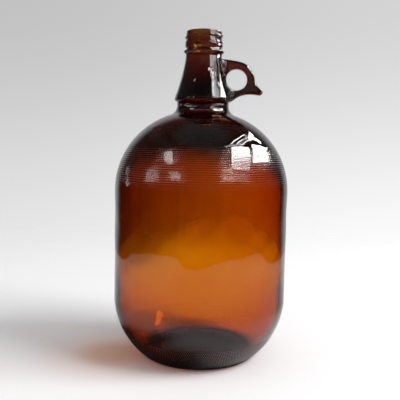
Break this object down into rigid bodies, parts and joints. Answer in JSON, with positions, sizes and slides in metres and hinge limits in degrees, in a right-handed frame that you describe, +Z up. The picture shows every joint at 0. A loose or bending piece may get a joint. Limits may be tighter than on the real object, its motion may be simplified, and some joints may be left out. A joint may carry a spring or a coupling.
{
  "type": "growler",
  "caption": "Amber glass jug with a domed, stippled shoulder and heel, a screw-finish mouth for a closure and a finger ring on the neck, for filling, carrying and pouring beer, cider or wine.",
  "frame": {"origin": "centre of the base, on the surface the jug stands on", "axes": "+Z up along the jug's axis, +X from the axis towards the finger ring, +Y completing a right-handed frame"},
  "size_m": [0.1706, 0.1706, 0.32],
  "materials": {
    "amber_glass": "clear amber, fire-polished gloss, stippled on the shoulder and the heel"
  },
  "bodies": {
    "root": {"base": "amber_glass", "lower_heel": "amber_glass", "heel": "amber_glass", "label_panel": "amber_glass", "shoulder": "amber_glass", "shoulder_crown": "amber_glass", "neck_collar": "amber_glass", "neck_bell": "amber_glass", "finger_ring": "amber_glass", "transfer_bead": "amber_glass", "locking_band": "amber_glass", "threaded_neck": "amber_glass", "lip": "amber_glass"}
  },
  "joints": []
}
